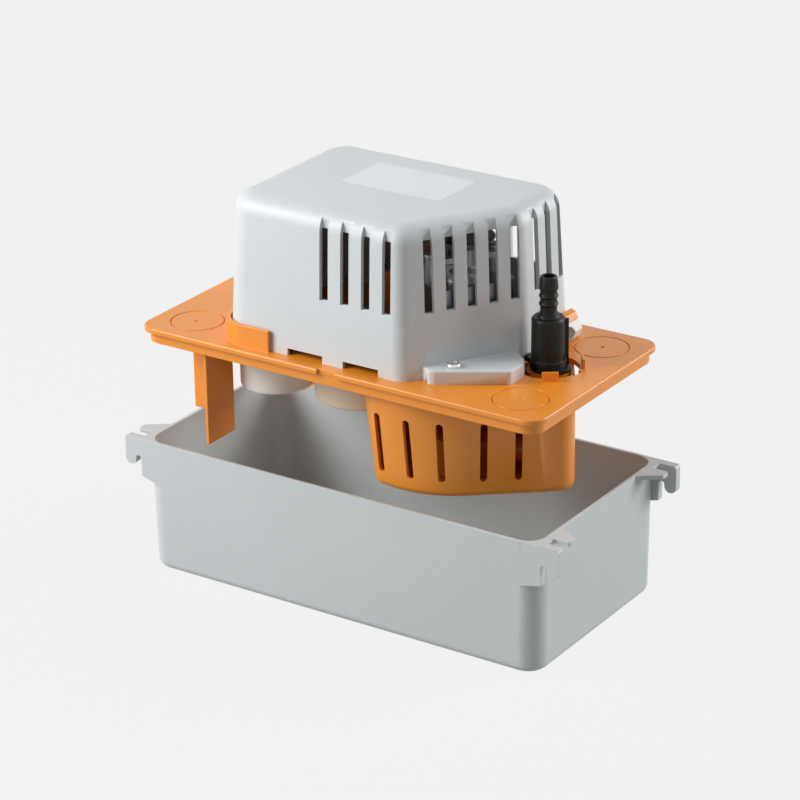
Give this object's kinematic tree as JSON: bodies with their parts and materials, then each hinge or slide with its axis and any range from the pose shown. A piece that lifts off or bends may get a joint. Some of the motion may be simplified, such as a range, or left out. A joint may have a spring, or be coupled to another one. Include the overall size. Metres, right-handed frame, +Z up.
{
  "type": "condensate pump",
  "caption": "Tank condensate pump: open collection tank with hanging hooks, and a lift-out head with motor under a slotted cover, strainer basket, floats and a barbed check valve.",
  "frame": {"origin": "centre of the tank's underside", "axes": "+X along the tank towards the valve end, +Y away from the cover's screw flange, +Z up"},
  "size_m": [0.2794, 0.128, 0.2281],
  "materials": {
    "tank_grey": "fine spark-eroded moulded finish",
    "cover_grey": "fine spark-eroded moulded finish",
    "plate_orange": "satin moulded finish",
    "valve_black": "satin moulded finish",
    "float_white": "smooth moulded foam",
    "float_beige": "smooth moulded foam",
    "grommet_grey": "smooth",
    "label_white": "smooth printed film, blank",
    "steel": "bright zinc plate",
    "lamination_steel": "stacked sheet with varnish",
    "bracket_alloy": "die cast",
    "rotor_metal": "turned",
    "copper": "enamelled wire",
    "bearing_bronze": "sintered",
    "bobbin_white": "smooth",
    "fan_grey": "smooth",
    "seal_black": "smooth",
    "switch_black": "smooth",
    "plunger_red": "smooth",
    "terminal_cream": "smooth"
  },
  "bodies": {
    "tank": {"tank": "tank_grey"},
    "head": {"base_plate": "plate_orange", "strainer_basket": "plate_orange", "stator_stack": "lamination_steel", "coil_bobbin": "bobbin_white", "coil_winding": "copper", "shading_rings": "copper", "top_bearing_bracket": "bracket_alloy", "top_bearing": "bearing_bronze", "lower_bearing_bracket": "bracket_alloy", "lower_bearing": "bearing_bronze", "motor_bolts": "steel", "shaft_seal": "seal_black", "volute_casing": "plate_orange", "volute_cover": "plate_orange", "terminal_block": "terminal_cream", "terminal_screws": "steel", "cord_grommet": "grommet_grey", "cord_hood": "plate_orange", "run_switch": "switch_black", "alarm_switch": "switch_black", "switch_screws": "steel"},
    "cover": {"pump_cover": "cover_grey", "cover_label": "label_white", "cover_screw": "steel"},
    "rotor": {"motor_shaft": "steel", "rotor_core": "rotor_metal", "cooling_fan": "fan_grey", "shaft_slinger": "seal_black", "impeller": "fan_grey"},
    "run_float": {"run_float": "float_beige", "run_float_stem": "float_white"},
    "run_lever": {"run_switch_lever": "steel"},
    "run_plunger": {"run_switch_plunger": "plunger_red"},
    "alarm_float": {"alarm_float": "float_white", "alarm_float_stem": "float_white"},
    "alarm_lever": {"alarm_switch_lever": "steel"},
    "alarm_plunger": {"alarm_switch_plunger": "plunger_red"},
    "valve": {"valve_body": "valve_black", "valve_seat": "seal_black", "valve_o_ring": "seal_black"},
    "ball": {"valve_ball": "steel"}
  },
  "joints": [
    {"name": "head_lift", "type": "slide", "parent": "tank", "child": "head", "axis": [0, 0, 1], "range_m": [-0.065, 0.03]},
    {"name": "cover_lift", "type": "slide", "parent": "head", "child": "cover", "axis": [0, 0, 1], "range_m": [0, 0.1]},
    {"name": "motor_spin", "type": "hinge", "parent": "head", "child": "rotor", "pos_m": [0.045, -0.004, 0.179], "axis": [0, 0, 1], "continuous": true},
    {"name": "run_float_rise", "type": "slide", "parent": "head", "child": "run_float", "axis": [0, 0, 1], "range_m": [0, 0.009]},
    {"name": "run_lever_swing", "type": "hinge", "parent": "head", "child": "run_lever", "pos_m": [-0.02, 0.0295, 0.16134], "axis": [-1, 0, 0], "range_deg": [0, 15.17]},
    {"name": "run_plunger_push", "type": "slide", "parent": "head", "child": "run_plunger", "axis": [0, 0, 1], "range_m": [0, 0.00075]},
    {"name": "alarm_float_rise", "type": "slide", "parent": "head", "child": "alarm_float", "axis": [0, 0, 1], "range_m": [0, 0.009]},
    {"name": "alarm_lever_swing", "type": "hinge", "parent": "head", "child": "alarm_lever", "pos_m": [-0.0665, 0.014, 0.16134], "axis": [-1, 0, 0], "range_deg": [0, 15.17]},
    {"name": "alarm_plunger_push", "type": "slide", "parent": "head", "child": "alarm_plunger", "axis": [0, 0, 1], "range_m": [0, 0.00075]},
    {"name": "valve_twist", "type": "hinge", "parent": "head", "child": "valve", "pos_m": [0.093, 0.003, 0.145], "axis": [0, 0, 1], "range_deg": [0, 90]},
    {"name": "ball_lift", "type": "slide", "parent": "valve", "child": "ball", "axis": [0, 0, 1], "range_m": [0, 0.008]}
  ],
  "couplings": [
    {"joint": "run_lever_swing", "follows": "run_float_rise", "rad_per_m": 29.4},
    {"joint": "run_plunger_push", "follows": "run_float_rise", "ratio": 0.0833},
    {"joint": "alarm_lever_swing", "follows": "alarm_float_rise", "rad_per_m": 29.4},
    {"joint": "alarm_plunger_push", "follows": "alarm_float_rise", "ratio": 0.0833}
  ]
}
